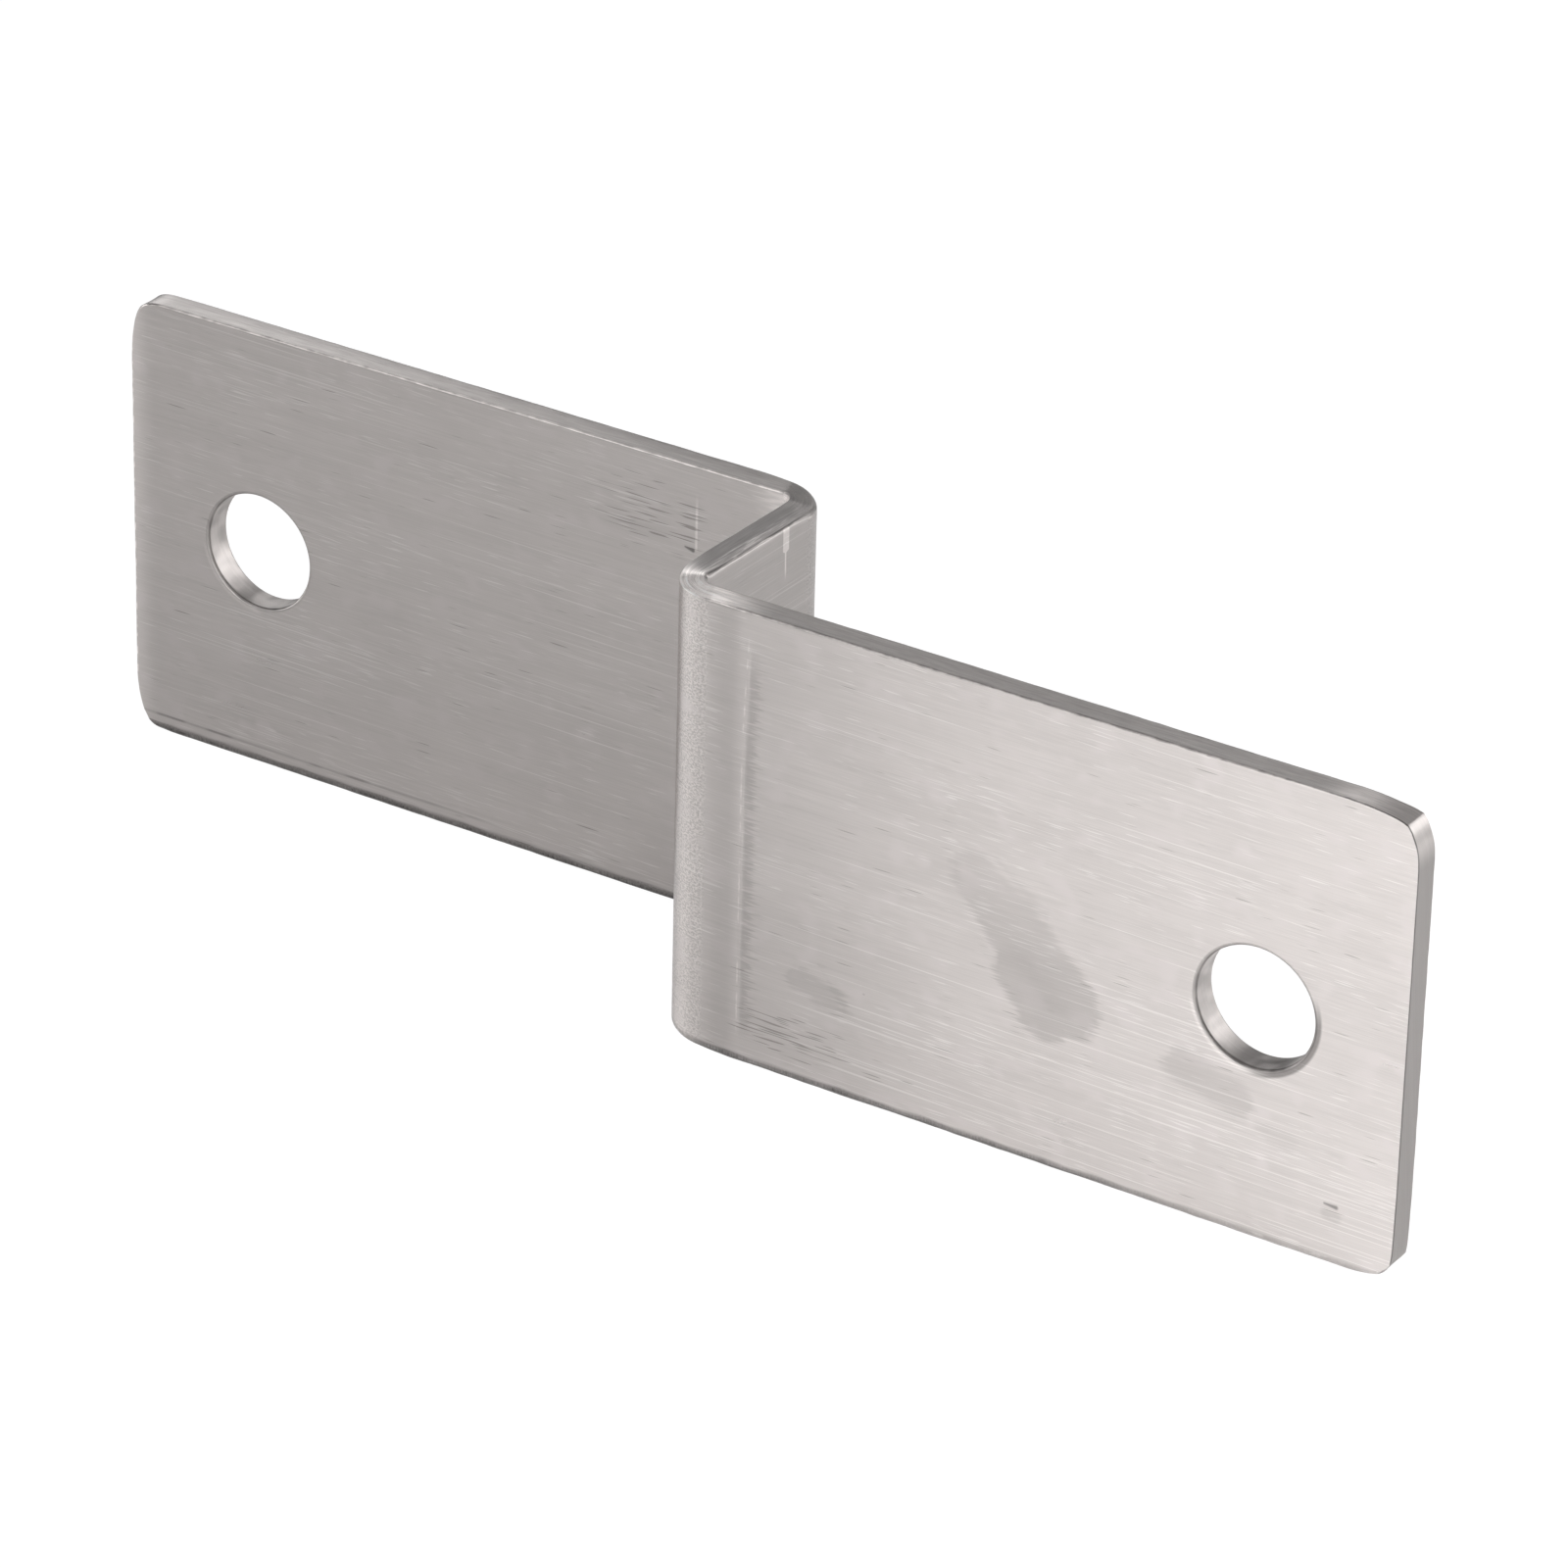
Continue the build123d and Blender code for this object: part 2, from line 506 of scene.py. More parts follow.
# The holes' walls: rolled rim, smooth punched band, a step, the part that broke away, rolled rim
WALL = [(0.0, 0.75), (0.0, 1.12), (0.03, 1.17), (0.035, 1.5)]      # distance beyond HOLE_R, and depth
WALL_BAND = 0.1
quarter = np.linspace(0, math.pi / 2, ARC + 1)
broken_r = HOLE_R + WALL[-1][0]
profile = [(HOLE_R + RIM * (1 - math.sin(a)), RIM * (1 - math.cos(a))) for a in quarter[1:]]
profile += [(HOLE_R + beyond, depth) for beyond, depth in WALL]
profile += [(broken_r + (RIM_R - broken_r) * (1 - math.cos(a)), T - RIM * (1 - math.sin(a))) for a in quarter[:-1]]
for (top, ang, centre, turned), (under, _, _, _) in zip(rims_a, rims_b):
    ray = np.column_stack([np.cos(ang), np.sin(ang)])
    turn = np.arange(len(ang) + 1) * (2 * math.pi * HOLE_R / len(ang))
    prev, level = top, 0.0
    for radius, depth in profile:
        q = centre + ray * radius
        row = add(q[:, 0], q[:, 1], depth, HOLE_WALL)
        quads(prev, row, turned, closed=True, along=turn, depth=(level, level + WALL_BAND), through=True)
        prev, level = row, level + WALL_BAND
    quads(prev, under, turned, closed=True, along=turn, depth=(level, level + WALL_BAND), through=True)

# Marks and bulges move the points, and then the flat strip is folded
V = np.vstack(verts)
F = np.vstack(faces)
s, z, h, kind = V.T
h = h + np.where(kind == FRONT_FACE, pressed(s, z, 0), 0.0) - np.where(kind == BACK_FACE, pressed(s, z, 1), 0.0)
joined = pressed(s, np.maximum(z, 0.02), 0) * np.clip(1 - h, 0, 1)      # the cut edge stays joined to a worn face
h = h + np.where(kind == CUT_EDGE, joined, 0.0)
z = z + bulge(s, z, h)
share = (h / T)[:, None]
xy = plan(0, s) * (1 - share) + plan(1, s) * share
XYZ = np.column_stack([xy, z]) * MM


def weighted_normals(co, quad):
    """Vertex normals weighted by face area, so that flat faces stay flat up to their rolled edges."""
    p = co[quad]
    n = np.cross(p[:, 2] - p[:, 0], p[:, 3] - p[:, 1])
    out = np.zeros_like(co)
    for k in range(4):
        np.add.at(out, quad[:, k], n)
    length = np.linalg.norm(out, axis=1, keepdims=True)
    return out / np.maximum(length, 1e-20)


MAP_SIZE = 120.0
mesh = bpy.data.meshes.new("z_bracket_sheet")
mesh.from_pydata(XYZ.tolist(), [], F.tolist())
mesh.validate()
mesh.polygons.foreach_set("use_smooth", np.ones(len(mesh.polygons), bool))
mesh.normals_split_custom_set_from_vertices(weighted_normals(XYZ, F).tolist())
attribute = mesh.attributes.new("sheet", "FLOAT_VECTOR", "POINT")
attribute.data.foreach_set("vector", V[:, :3].astype(np.float32).ravel())
uv = mesh.uv_layers.new(name="Sheet")
loops = np.empty(len(mesh.loops), int)
mesh.loops.foreach_get("vertex_index", loops)
own_uv = np.vstack(maps).reshape(-1, 2)
uv_values = np.where(np.isnan(own_uv), V[:, :2][loops], own_uv) / MAP_SIZE
uv.data.foreach_set("uv", uv_values.astype(np.float32).ravel())
bracket = bpy.data.objects.new("folded_sheet", mesh)
bpy.context.scene.collection.objects.link(bracket)


class Graph:
    """Short calls for building a node tree."""

    def __init__(self, tree):
        self.tree = tree

    def node(self, kind, inputs=None, **props):
        n = self.tree.nodes.new(kind)
        for k, v in props.items():
            setattr(n, k, v)
        for k, v in (inputs or {}).items():
            self.put(n.inputs[k], v)
        return n

    def put(self, socket, value):
        if isinstance(value, bpy.types.NodeSocket):
            self.tree.links.new(value, socket)
        else:
            socket.default_value = value

    def math(self, op, *values, clamp=False):
        n = self.node("ShaderNodeMath", operation=op, use_clamp=clamp)
        for i, v in enumerate(values):
            self.put(n.inputs[i], v)
        return n.outputs[0]

    def chain(self, op, values):
        out = values[0]
        for v in values[1:]:
            out = self.math(op, out, v)
        return out

    def add(self, *values):
        return self.chain("ADD", values)

    def mul(self, *values):
        return self.chain("MULTIPLY", values)

    def min(self, *values):
        return self.chain("MINIMUM", values)

    def max(self, *values):
        return self.chain("MAXIMUM", values)

    def sub(self, a, b):
        return self.math("SUBTRACT", a, b)

    def abs(self, a):
        return self.math("ABSOLUTE", a)

    def lighter(self, mask, amount):
        """A factor that lightens by amount where mask is 1."""
        return self.add(1.0, self.mul(mask, amount))

    def darker(self, mask, amount):
        """A factor that darkens by amount where mask is 1."""
        return self.sub(1.0, self.mul(mask, amount))

    def step(self, x, a, b):
        """0 at a, 1 at b, smooth between; a may be above b."""
        inputs = {"Value": x, "From Min": a, "From Max": b}
        return self.node("ShaderNodeMapRange", inputs, interpolation_type="SMOOTHSTEP").outputs[0]

    def span(self, x, a, b, c, d):
        """0 up to a, 1 from b to c, 0 again from d."""
        return self.mul(self.step(x, a, b), self.step(x, d, c))

    def noise(self, x, y, z, detail, rough):
        vector = self.node("ShaderNodeCombineXYZ", {"X": x, "Y": y, "Z": z}).outputs[0]
        inputs = {"Vector": vector, "Scale": 1.0, "Detail": detail, "Roughness": rough}
        return self.node("ShaderNodeTexNoise", inputs).outputs[0]

    def mix(self, share, a, b):
        n = self.node("ShaderNodeMix", data_type="RGBA", clamp_factor=True)
        for i, v in ((0, share), (6, a), (7, b)):
            self.put(n.inputs[i], v)
        return n.outputs[2]


def material(name):
    m = bpy.data.materials.new(name)
    m.use_nodes = True
    m.node_tree.nodes.clear()
    return m, Graph(m.node_tree)


def bar(g, s, z, start, end):
    """Signed distance to a rounded bar. Each end is given by a flange's x, the height and the radius there."""
    (xa, za, radius_a), (xb, zb, radius_b) = start, end
    sa, ds, dz = strip_s(xa), strip_s(xb) - strip_s(xa), zb - za
    u, v = g.sub(s, sa), g.sub(z, za)
    t = g.math("DIVIDE", g.add(g.mul(u, ds), g.mul(v, dz)), ds * ds + dz * dz, clamp=True)
    pu, pv = g.sub(u, g.mul(t, ds)), g.sub(v, g.mul(t, dz))
    distance = g.math("SQRT", g.add(g.mul(pu, pu), g.mul(pv, pv)))
    return g.sub(g.sub(distance, radius_a), g.mul(t, radius_b - radius_a))


def patch(g, x, y, centre, reach):
    """1 in the middle of an oval area, fading to 0 at its rim."""
    u, v = g.mul(g.sub(x, centre[0]), 1 / reach[0]), g.mul(g.sub(y, centre[1]), 1 / reach[1])
    return g.step(g.add(g.mul(u, u), g.mul(v, v)), 1.0, 0.0)


class Sheet:
    """The places on the sheet and the noises that several of its marks need. A place is 1 inside and 0 outside."""

    def __init__(self, g):
        self.g = g
        stored = g.node("ShaderNodeAttribute", attribute_name="sheet").outputs["Vector"]
        self.s, self.z, self.h = g.node("ShaderNodeSeparateXYZ", {0: stored}).outputs
        self.across = g.add(self.z, g.mul(self.h, 7.3))     # moves on over edges and walls, so that the faces differ

        self.on_front = g.step(self.h, 0.03, 0.0)
        self.on_back = g.step(self.h, T - 0.10, T - 0.02)
        self.front = g.step(self.s, FRONT_FROM - 1.0, FRONT_TO + 16.0)
        self.web = g.span(self.s, BACK_FROM, BACK_TO, FRONT_FROM, FRONT_TO)
        self.bends = g.max(
            g.span(self.s, FRONT_FROM + 0.6, FRONT_FROM + 1.4, FRONT_TO - 0.35, FRONT_TO + 0.35),
            g.span(self.s, BACK_FROM - 0.3, BACK_FROM + 0.8, BACK_TO - 0.8, BACK_TO + 0.3))
        lean = g.mul(MARK_LEAN, g.math("POWER", g.step(self.z, LEAN_FROM, LEAN_TO), LEAN_POWER))
        self.past_mark = g.sub(g.sub(self.s, FRONT_MARK), lean)

        # from the nearer hole's middle: to the right, up, and outward
        along = g.sub(g.abs(g.sub(self.s, TOTAL / 2)), TOTAL / 2 - HOLE_END)
        self.right = g.mul(along, g.math("SIGN", g.sub(self.s, TOTAL / 2)))
        self.up = g.sub(self.z, WIDTH / 2)
        self.out = g.math("SQRT", g.add(g.mul(along, along), g.mul(self.up, self.up)))
        self.wall = g.step(self.out, RIM_R, HOLE_R + 0.05)

        self.hair = self.noise(0.13, 9.0, 0.0, 1.0)
        self.medium = self.noise(0.06, 3.2, 3.0, 1.0)
        self.cloud = self.noise(0.14, 0.17, 1.0, 3.0, 0.6)
        self.grain = self.noise(8.5, 8.5, 9.0, 1.0, 0.6)
        self.ragged = g.mul(g.sub(self.noise(0.9, 4.0, 70.0), 0.5), 1.6)

    def noise(self, along, across, seed, detail=0.0, rough=0.55, tilt=0.0):
        """Noise with one scale along the strip and one across it. Seeds keep the noises apart."""
        g = self.g
        q = g.add(self.across, g.mul(self.s, tilt)) if tilt else self.across
        return g.noise(g.mul(self.s, along), g.mul(q, across), seed, detail, rough)


METAL_DARK, METAL_LIGHT, METAL_PINKISH = (0.525, 0.492, 0.478, 1), (0.715, 0.671, 0.652, 1), (0.650, 0.606, 0.594, 1)
SCRATCH_LIGHT, STROKE_DARK = (0.92, 0.89, 0.87, 1), (0.30, 0.275, 0.26, 1)


def brushed_colour(g, at):
    """Colour of the brushed metal, and its short scratches, which the bump needs too."""
    # hairlines in four widths along the strip, and large soft clouds
    parts = (
        (at.hair, 0.38), (at.noise(0.30, 15.0, 5.0), 0.36), (at.medium, 0.30),
        (at.noise(0.04, 0.7, 7.0, 1.0), 0.30), (at.cloud, 0.46))
    tone = g.add(0.5, *(g.mul(g.sub(part, 0.5), weight) for part, weight in parts))
    tone = g.add(tone, g.mul(at.bends, g.sub(at.grain, 0.5), 6.5))
    tint = at.noise(0.45, 0.6, 31.0, 1.0, 0.5)

    # scratches: short ones crowd in places, long ones cross the lower half of the front flange
    crowd = g.mul(g.sub(at.noise(0.10, 0.25, 40.0, 0.0, 0.5), 0.5), 0.22)
    short = g.step(g.add(at.noise(0.42, 9.5, 20.0), crowd), 0.735, 0.80)
    other = g.step(g.add(at.noise(0.30, 11.0, 29.0, tilt=0.035), crowd), 0.735, 0.80)
    low_half = g.mul(at.front, g.step(at.z, 15.0, 7.0))
    long = g.step(g.add(at.noise(0.045, 8.0, 38.0, tilt=0.012), g.mul(low_half, 0.07)), 0.72, 0.78)
    bright = g.max(short, g.mul(other, 0.8), g.mul(long, 0.9))

    # dark strokes, most of them in two places
    foot = patch(g, at.s, at.z, (strip_s(8.8), 3.1), (5.0, 2.0))
    by_back_bend = patch(g, at.s, at.z, (strip_s(-10.6), 26.0), (5.2, 3.4))
    places = g.mul(at.on_front, g.max(g.mul(foot, 0.25), g.mul(by_back_bend, 0.18)))
    dark = g.step(g.add(at.noise(0.42, 9.0, 61.0), places), 0.78, 0.86)

    colour = g.mix(tone, METAL_DARK, METAL_LIGHT)
    colour = g.mix(g.step(tint, 0.52, 0.75), colour, METAL_PINKISH)
    colour = g.mix(g.mul(bright, 0.42), colour, SCRATCH_LIGHT)
    return g.mix(g.mul(dark, 0.72), colour, STROKE_DARK), short


def face_shade(g, at):
    """Shade of the flanges and the web: mostly painted light and shade where the lamps fall, besides the worn lower
    edge and a lighter patch by the back bend.
    """
    # painted light: the front flange lighter and the rear flange's front face darker, as the lamps fall on them
    painted_shade_rear_flange = g.mul(at.on_front, g.span(at.s, -1.0, 1.5, BACK_FROM - 1.0, BACK_TO))
    level = g.sub(g.add(0.955, g.mul(at.front, 0.115)), g.mul(painted_shade_rear_flange, 0.185))
    # painted shade on the front flange's front face, at its lower left and towards the front mark
    front_face = g.mul(at.on_front, g.step(at.s, FRONT_TO - 0.5, FRONT_TO + 1.5))
    low_left = patch(g, at.s, at.z, (strip_s(9.0), 4.0), (15.0, 9.5))
    near_mark = g.step(at.s, strip_s(27.0), strip_s(5.0))

    # beside the front mark: a painted shadow band with a torn side; by the front bend, a painted shade run-out and a
    # painted highlight strip
    torn = g.add(g.mul(at.ragged, 0.45), g.mul(g.sub(at.noise(0.7, 7.5, 72.0), 0.5), 1.9))
    band = g.mul(
        at.on_front, g.step(at.past_mark, 0.10, 0.30), g.step(g.add(at.past_mark, torn), 1.15, 0.50),
        g.span(at.z, 1.6, 3.6, 25.0, 28.4))
    tail = g.mul(at.on_front, g.span(at.s, FRONT_TO - 0.35, FRONT_TO + 0.15, FRONT_MARK - 0.9, FRONT_MARK + 0.1))
    strip = g.mul(at.on_front, g.span(at.s, FRONT_TO - 1.9, FRONT_TO - 1.2, FRONT_TO - 1.1, FRONT_TO - 0.15))
    specks = g.mul(
        at.on_front, g.step(at.grain, 0.64, 0.70), patch(g, at.s, at.z, (FRONT_TO - 1.3, 4.8), (0.9, 2.8)))

    # the rear flange: painted shade in its groove, its worn lower edge, a painted highlight along its end, and a
    # lighter ragged patch by the back bend
    groove = g.mul(
        at.on_front, g.step(g.abs(g.sub(at.z, GROOVE)), 0.14, 0.03), g.span(at.s, 0.1, 0.6, 22.0, 30.0),
        g.add(0.45, g.mul(0.55, g.step(at.noise(0.45, 0.3, 80.0), 0.42, 0.60))))
    worn = g.mul(at.on_front, g.step(at.z, 0.9, 0.35), g.step(at.s, WORN_END + 6, WORN_END - 6))
    rear_end = g.mul(at.on_front, g.step(at.s, 2.0, 0.3))
    ragged_patch = g.mul(
        at.on_front, g.step(at.z, 27.0, 29.7), g.span(at.s, BACK_FROM - 2.6, BACK_FROM, BACK_TO - 0.4, BACK_TO + 1.6))

    return g.mul(
        level, g.darker(front_face, g.add(g.mul(low_left, 0.04), g.mul(near_mark, 0.14))),
        # painted shade on the web's back face
        g.darker(g.mul(at.on_back, at.web), 0.31),
        g.darker(band, 0.20), g.darker(tail, 0.10), g.lighter(strip, 0.15), g.darker(specks, 0.55),
        g.darker(groove, 0.40), g.darker(worn, 0.10), g.lighter(rear_end, 0.16),
        g.lighter(ragged_patch, g.add(0.38, g.mul(at.ragged, 0.5))))


# Start and end of each bar as x, height and radius, then its softness and its depth
SMEAR = [
    ((21.4, 17.6, 1.65), (24.2, 15.0, 2.1)), ((24.2, 15.0, 2.1), (28.0, 11.3, 2.05)),
    ((24.9, 12.4, 2.1), (26.4, 10.2, 1.9))]
SMUDGES = [
    ((24.6, 13.6, 0.8), (26.6, 11.4, 1.2), 0.9, 0.05),
    ((22.8, 19.2, 0.12), (26.0, 16.7, 0.34), 0.22, 0.06),
    ((9.6, 7.1, 1.0), (12.2, 6.5, 0.8), 0.25, 0.12),
    ((11.2, 8.2, 0.10), (13.0, 6.0, 0.35), 0.15, 0.06),
    ((35.4, 9.8, 1.1), (39.0, 8.9, 1.2), 0.40, 0.13),
    ((41.0, 7.4, 0.4), (42.6, 7.0, 0.6), 0.4, 0.05)]
STROKES = [
    ((45.2, 3.98, 0.06), (45.95, 3.93, 0.13), 0.09, 0.58),
    ((14.1, 7.5, 0.04), (14.15, 7.5, 0.04), 0.06, 0.30),
    ((-8.2, 24.48, 0.05), (-7.65, 24.38, 0.13), 0.07, 0.6)]
FOOT_SPOT = ((45.35, 3.35, 0.36), (45.95, 3.25, 0.36), 0.2, 0.12)


def smudge_shade(g, at):
    """Shade of the smear, the smudges and the short dark strokes on the front faces."""
    warp = g.mul(g.sub(g.noise(g.mul(at.s, 0.7), g.mul(at.z, 0.7), 90.0, 2.0, 0.6), 0.5), 1.3)
    warped = g.add(at.s, warp), g.sub(at.z, g.mul(warp, 0.7))
    fray = g.mul(g.sub(g.add(g.mul(at.medium, 0.5), g.mul(at.hair, 0.7)), 0.6), 1.7)
    smear = g.min(*(bar(g, *warped, start, end) for start, end in SMEAR))
    smear_depth = g.add(0.035, g.mul(at.medium, 0.10), g.mul(g.step(at.z, 18.5, 12.5), 0.095))
    blots = [(g.add(smear, fray), 0.30, smear_depth)]
    blots += [(g.add(bar(g, *warped, start, end), fray), soft, depth) for start, end, soft, depth in SMUDGES]
    blots += [(bar(g, at.s, at.z, start, end), soft, depth) for start, end, soft, depth in STROKES]
    start, end, soft, depth = FOOT_SPOT
    blots.append((bar(g, at.s, g.add(at.z, g.mul(fray, 0.3)), start, end), soft, depth))
    return g.mul(*(
        g.darker(g.mul(at.on_front, g.step(distance, soft, -soft)), depth) for distance, soft, depth in blots))


def press_shade(g, at):
    """Painted highlights on the lines where the tools pressed."""
    off = g.abs(g.sub(at.past_mark, g.mul(at.ragged, 0.05)))
    front_press = g.mul(
        at.on_front, g.step(off, 0.085, 0.02), g.step(at.noise(0.1, 1.3, 77.0), 0.35, 0.65),
        g.span(at.z, 1.8, 3.0, 27.4, 28.6))
    rear_press = g.mul(
        at.on_front, g.step(g.abs(g.sub(at.s, REAR_MARK)), 0.12, 0.04), g.span(at.z, 24.3, 24.6, 26.6, 28.4))
    wider_top = g.mul(g.step(at.z, 28.3, 28.5), 0.24)
    web_press = g.mul(
        at.on_back, g.step(at.z, 26.4, 27.4), g.step(g.sub(g.abs(g.sub(at.s, WEB_MARK)), wider_top), 0.10, 0.04))
    return g.mul(g.lighter(front_press, 0.20), g.lighter(rear_press, 0.30), g.lighter(web_press, 0.55))


def hole_shade(g, at):
    """Shade of the holes' walls and rims, most of it painted: painted shade on the rims and outside the front rim,
    painted light and shade on the walls over their own blotches, and a painted highlight outside the rims' lower
    left.
    """
    # painted shade on the rims' roll on the front face, more on the hole's left
    rim = g.mul(g.step(at.out, RIM_R + 0.04, RIM_R - 0.01), g.step(at.h, 0.30, 0.12))
    rim_depth = g.add(0.15, g.mul(g.step(at.right, 1.0, -2.0), 0.10))
    # the walls: their own blotches, painted shade darker on the front hole and at the bottom, and a painted highlight
    # at the lower left
    patchy = g.noise(g.mul(at.s, 0.8), g.mul(at.z, 0.8), g.mul(at.h, 0.6), 1.0, 0.5)
    light_part = patch(g, at.right, at.up, (-2.9, -2.6), (2.0, 2.3))
    bottom = g.step(at.up, -2.8, -3.5)
    wall_depth = g.add(
        g.sub(g.add(0.04, g.mul(at.front, 0.10), g.mul(g.step(patchy, 0.35, 0.65), 0.24)),
              g.mul(light_part, g.sub(0.35, g.mul(at.front, 0.25)))),
        g.mul(bottom, g.add(0.14, g.mul(g.step(at.right, -1.6, 1.0), 0.26))))
    # painted shade: a dark crescent outside the front hole's rim, on its right and lower right
    crescent = g.mul(
        at.on_front, at.front, g.step(at.out, RIM_R + 0.36, RIM_R + 0.16),
        g.step(g.sub(at.right, g.mul(at.up, 0.75)), 2.2, 4.4))
    # painted highlight outside the rims' lower left
    painted_rim_highlight = g.mul(
        at.on_front, g.step(at.out, RIM_R + 0.30, RIM_R + 0.12),
        g.step(g.add(at.right, g.mul(at.up, 1.2)), -4.6, -5.4))
    return g.mul(
        g.darker(rim, rim_depth), g.darker(at.wall, wall_depth), g.darker(crescent, 0.55), g.lighter(painted_rim_highlight, 0.16))


def edge_shade(g, at):
    """Shade of the strip's edges, most of it painted light: painted shade on the lower edge, the upper edge and the
    front end, painted highlights and glints on the crisp rear edge, the rear end and the front bend's top.
    """
    over = g.noise(g.mul(at.s, 0.45), g.mul(at.h, 5.5), 95.0, 2.0, 0.6)     # brushed lines on the cut
    on_cut = g.span(at.h, 0.01, 0.06, T - 0.06, T - 0.01)
    on_top = g.mul(on_cut, g.step(at.z, WIDTH - 0.8, WIDTH - 0.3))

    # painted shade along the rolled lower edge, less at the front bend and fading towards the front end
    low_z = g.add(at.z, g.mul(g.sub(at.noise(0.5, 3.0, 73.0), 0.5), 0.25))
    lower = g.mul(
        g.step(at.h, 0.9, 0.2),
        g.add(g.mul(g.step(low_z, 0.78, 0.50), 0.65), g.mul(g.step(low_z, 0.5, 0.18), 0.35)),
        g.darker(g.span(at.s, FRONT_FROM, FRONT_FROM + 1.0, FRONT_TO - 1.0, FRONT_TO + 0.5), 0.55),
        g.add(0.35, g.mul(g.step(at.s, strip_s(44.0), strip_s(24.0)), 0.65)))

    # the upper edge: painted shade along it, most on the rear flange, the web and the front flange; painted
    # highlights on the web's back rim, in a lobe on the front bend and at the front corner; light brushed streaks on
    # the web
    rear_top = g.mul(on_top, g.step(at.s, BACK_FROM + 1.0, BACK_FROM - 3.0))
    web_top = g.mul(on_top, g.span(at.s, BACK_FROM + 1.5, BACK_TO + 1.0, FRONT_FROM - 0.2, FRONT_FROM + 1.6))
    web_rim = g.mul(g.step(at.h, T - 0.30, T - 0.15), g.step(at.z, 29.5, 29.8), at.web)
    # painted shade on the web top's front part, with a ragged side
    ragged_patch = g.mul(web_top, g.step(g.add(at.h, g.mul(g.sub(over, 0.5), 1.2)), 1.65, 1.05))
    lines = g.mul(web_top, g.sub(1.0, ragged_patch), g.step(over, 0.50, 0.64))
    lobe = g.mul(on_top, g.span(at.s, FRONT_FROM - 0.6, FRONT_FROM + 1.4, FRONT_TO, FRONT_TO + 5.0))
    front_top = g.mul(on_top, g.step(at.s, FRONT_TO - 1.0, FRONT_TO + 4.0))
    corner_top = g.mul(on_top, g.span(at.s, TOTAL - 7.0, TOTAL - 2.5, TOTAL - 0.86, TOTAL - 0.80))

    # the crisp upper edge of the front faces: a painted highlight with glints along the rear flange's, painted shade
    # along the front flange's, less at the glints
    glint = g.step(at.noise(1.1, 0.2, 75.0, 2.0), 0.34, 0.62)
    crisp = g.mul(g.span(at.h, 0.0, 0.02, 0.13, 0.20), g.step(at.z, WIDTH - 0.22, WIDTH - 0.15))
    crisp_rear = g.mul(crisp, g.step(at.s, BACK_FROM + 1.0, BACK_FROM))
    crisp_front = g.mul(crisp, g.step(at.s, FRONT_TO - 1.0, FRONT_TO))

    # both ends: painted shade on the front end's edge and face, painted glints along the rear end's edge
    end_edge = g.mul(
        g.span(at.h, 0.0, 0.004, 0.07, 0.12), g.step(at.s, TOTAL - 7.0, TOTAL - 4.0), g.step(at.z, 0.8, 1.6))
    end_face = g.mul(
        on_cut, g.step(at.s, TOTAL - 0.95, TOTAL - 0.80), g.add(0.15, g.mul(g.step(at.z, 28.6, 26.6), 0.85)))
    rear_edge = g.mul(
        g.step(at.h, 0.18, 0.12), g.step(at.s, 0.22, 0.12), g.step(at.noise(0.2, 1.6, 78.0), 0.45, 0.65))

    return g.mul(
        g.darker(lower, g.add(0.78, g.mul(g.sub(at.grain, 0.5), 0.7))),
        g.darker(rear_top, g.add(0.05, g.mul(g.step(g.add(at.h, g.mul(at.ragged, 0.3)), 0.5, 1.9), 0.20))),
        g.darker(web_top, 0.43), g.lighter(web_rim, 0.12), g.darker(ragged_patch, 0.34), g.lighter(lines, 0.55),
        g.darker(g.mul(on_top, g.sub(1.0, lobe)), 0.36),
        g.lighter(g.mul(lobe, g.add(0.8, g.mul(g.sub(over, 0.5), 1.6))), 0.60),
        g.darker(front_top, 0.14), g.lighter(corner_top, 1.1), g.lighter(g.mul(on_top, g.sub(over, 0.5)), 0.7),
        g.lighter(g.mul(crisp_rear, glint), 0.46), g.darker(crisp_front, g.sub(0.42, g.mul(glint, 0.36))),
        g.darker(end_edge, 0.65), g.darker(end_face, 0.50), g.lighter(rear_edge, 0.5))


def steel():
    """Brushed stainless steel with this bracket's own marks, and with light and shade painted into its colour."""
    m, g = material("brushed_sheet")
    at = Sheet(g)
    colour, short = brushed_colour(g, at)
    # the shade holds painted light and shade as well as the sheet's own marks; each part says which
    shade = g.mul(*(part(g, at) for part in (face_shade, smudge_shade, press_shade, hole_shade, edge_shade)))
    colour = g.node("ShaderNodeVectorMath", {0: colour, "Scale": shade}, operation="SCALE").outputs[0]
    rough = g.add(0.30, g.mul(at.wall, 0.14), g.mul(g.sub(at.medium, 0.5), 0.06), g.mul(g.sub(at.cloud, 0.5), 0.08))
    height = g.sub(g.add(g.mul(at.hair, 0.8), g.mul(at.bends, at.grain, 20.0)), g.mul(short, 0.5))
    bump = g.node("ShaderNodeBump", {"Strength": 1.0, "Distance": 0.0000018, "Height": height})
    shader = g.node("ShaderNodeBsdfPrincipled", {
        "Base Color": colour, "Metallic": 1.0, "Roughness": rough, "Normal": bump.outputs[0],
        "Anisotropic": 0.75, "Anisotropic Rotation": 0.25,
        "Tangent": g.node("ShaderNodeTangent", direction_type="UV_MAP", uv_map="Sheet").outputs[0]})
    g.node("ShaderNodeOutputMaterial", {0: shader.outputs[0]})
    return m


mesh.materials.append(steel())
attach(bracket, "root")
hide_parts("z_bracket")

# Floor
FLOOR_REACH = 6.0
PAPER_GREY, PAPER_WHITE = 0.82, 1.08
CAMERA_SHARE, MIRROR_SHARE = 0.90, 0.23     # how much of the floor is plain white to the camera, and in the metal


